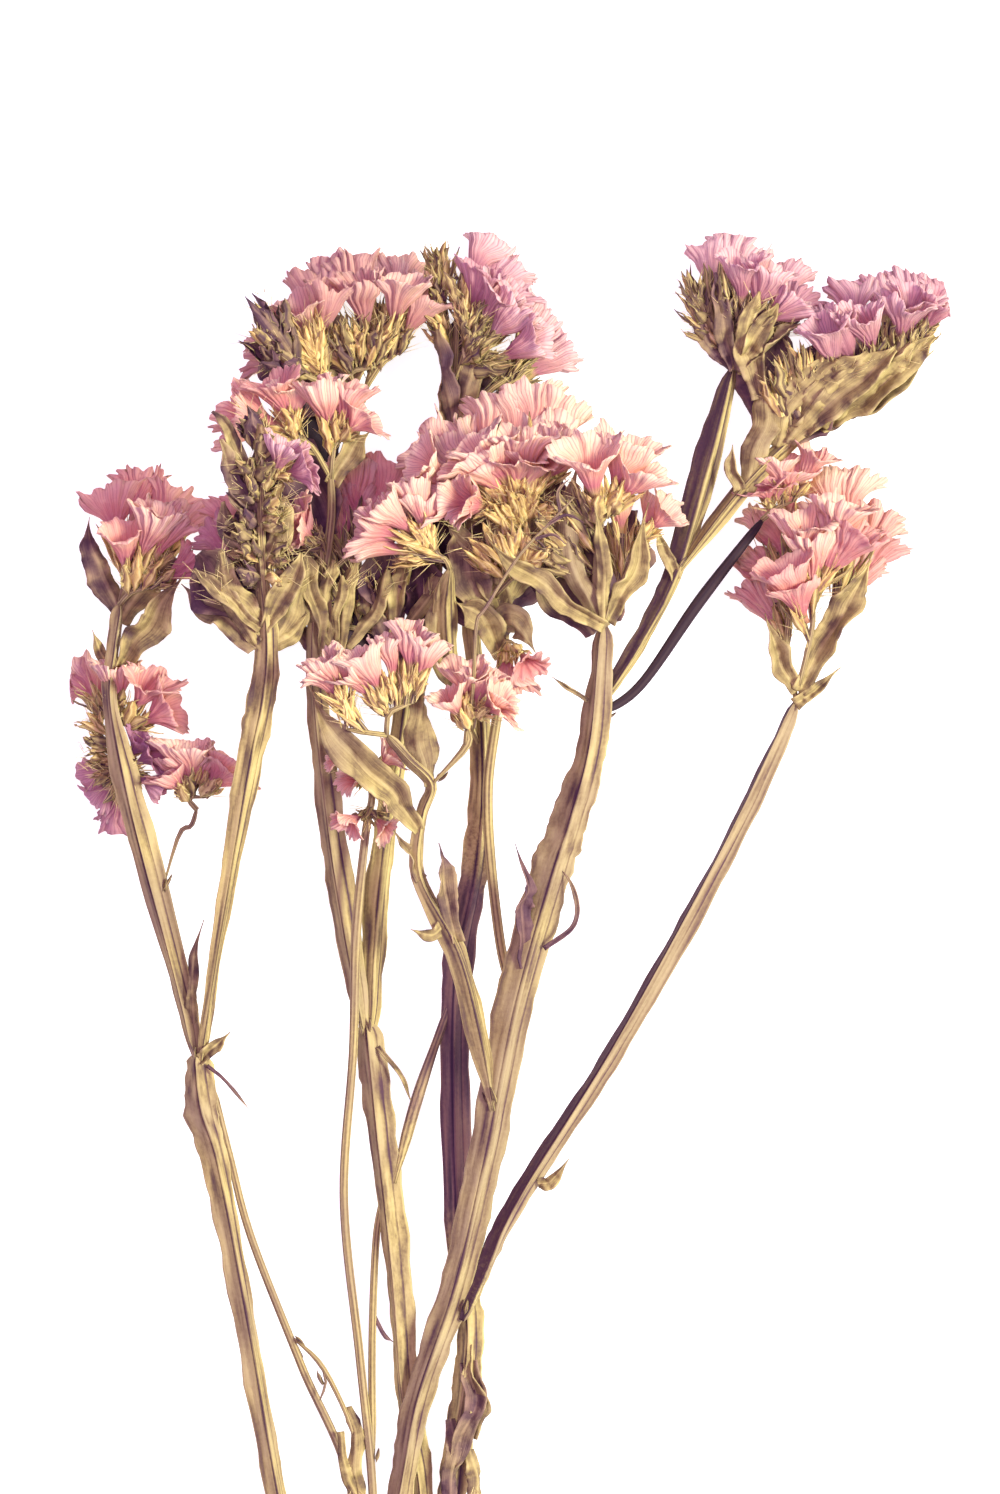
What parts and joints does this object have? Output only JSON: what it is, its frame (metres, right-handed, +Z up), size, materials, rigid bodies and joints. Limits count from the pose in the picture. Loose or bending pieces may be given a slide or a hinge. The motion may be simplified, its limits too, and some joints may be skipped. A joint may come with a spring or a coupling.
{
  "type": "dried statice bunch",
  "caption": "Loose bunch of dried winged statice that lies on a surface: forked, winged stems with pointed leaves, straw bracts and papery pink calyxes.",
  "frame": {"origin": "middle of the bunch's box, on the surface that it lies on", "axes": "+Z up from the surface, +Y from the cut ends to the heads, +X to the right seen from above"},
  "size_m": [0.142, 0.278, 0.0359],
  "materials": {
    "dried_stem": "dry, matte, ribbed, straw to olive",
    "pink_calyx": "dry, matte, thin and crinkled, salmon pink",
    "mauve_calyx": "dry, matte, thin and crinkled, mauve pink",
    "faded_calyx": "dry, matte, thin and crinkled, faded to peach"
  },
  "bodies": {
    "root": {"stem_centre": "dried_stem", "stem_left": "dried_stem", "stem_middle": "dried_stem", "stem_back": "dried_stem", "stem_slender": "dried_stem", "stem_thin": "dried_stem", "calyxes_broad_head_1": "pink_calyx", "calyxes_broad_head_2": "pink_calyx", "calyxes_broad_head_3": "pink_calyx", "calyxes_broad_head_4": "pink_calyx", "calyxes_near_right_head_1": "pink_calyx", "calyxes_near_right_head_2": "pink_calyx", "calyxes_middle_head_1": "pink_calyx", "calyxes_nodding_1": "pink_calyx", "calyxes_front_head_1": "pink_calyx", "calyxes_front_head_2": "pink_calyx", "calyxes_right_low_head_1": "pink_calyx", "calyxes_right_low_head_2": "pink_calyx", "calyxes_right_low_head_3": "pink_calyx", "calyxes_right_low_head_4": "pink_calyx", "calyxes_right_high_head_1": "mauve_calyx", "calyxes_right_high_head_2": "mauve_calyx", "calyxes_right_high_head_3": "mauve_calyx", "calyxes_far_right_head_1": "mauve_calyx", "calyxes_far_right_head_2": "mauve_calyx", "calyxes_left_top_head_1": "pink_calyx", "calyxes_left_top_head_2": "pink_calyx", "calyxes_left_middle_head_1": "pink_calyx", "calyxes_left_middle_head_2": "pink_calyx", "calyxes_left_low_head_1": "mauve_calyx", "calyxes_left_low_head_2": "mauve_calyx", "calyxes_left_side_shoot_1": "pink_calyx", "calyxes_front_spike_pale_1": "mauve_calyx", "calyxes_front_spike_dark_1": "pink_calyx", "calyxes_arched_head_1": "faded_calyx", "calyxes_arched_head_2": "faded_calyx", "calyxes_arched_head_3": "faded_calyx", "calyxes_arched_head_4": "faded_calyx", "calyxes_upper_left_head_1": "pink_calyx", "calyxes_upper_left_head_2": "pink_calyx", "calyxes_shaded_head_1": "pink_calyx", "calyxes_shaded_head_2": "pink_calyx", "calyxes_tall_head_1": "mauve_calyx", "calyxes_tall_head_2": "mauve_calyx", "calyxes_tall_head_3": "mauve_calyx", "calyxes_front_left_fan_1": "pink_calyx", "calyxes_withered_head_1": "pink_calyx", "calyxes_withered_head_2": "pink_calyx"}
  },
  "joints": []
}
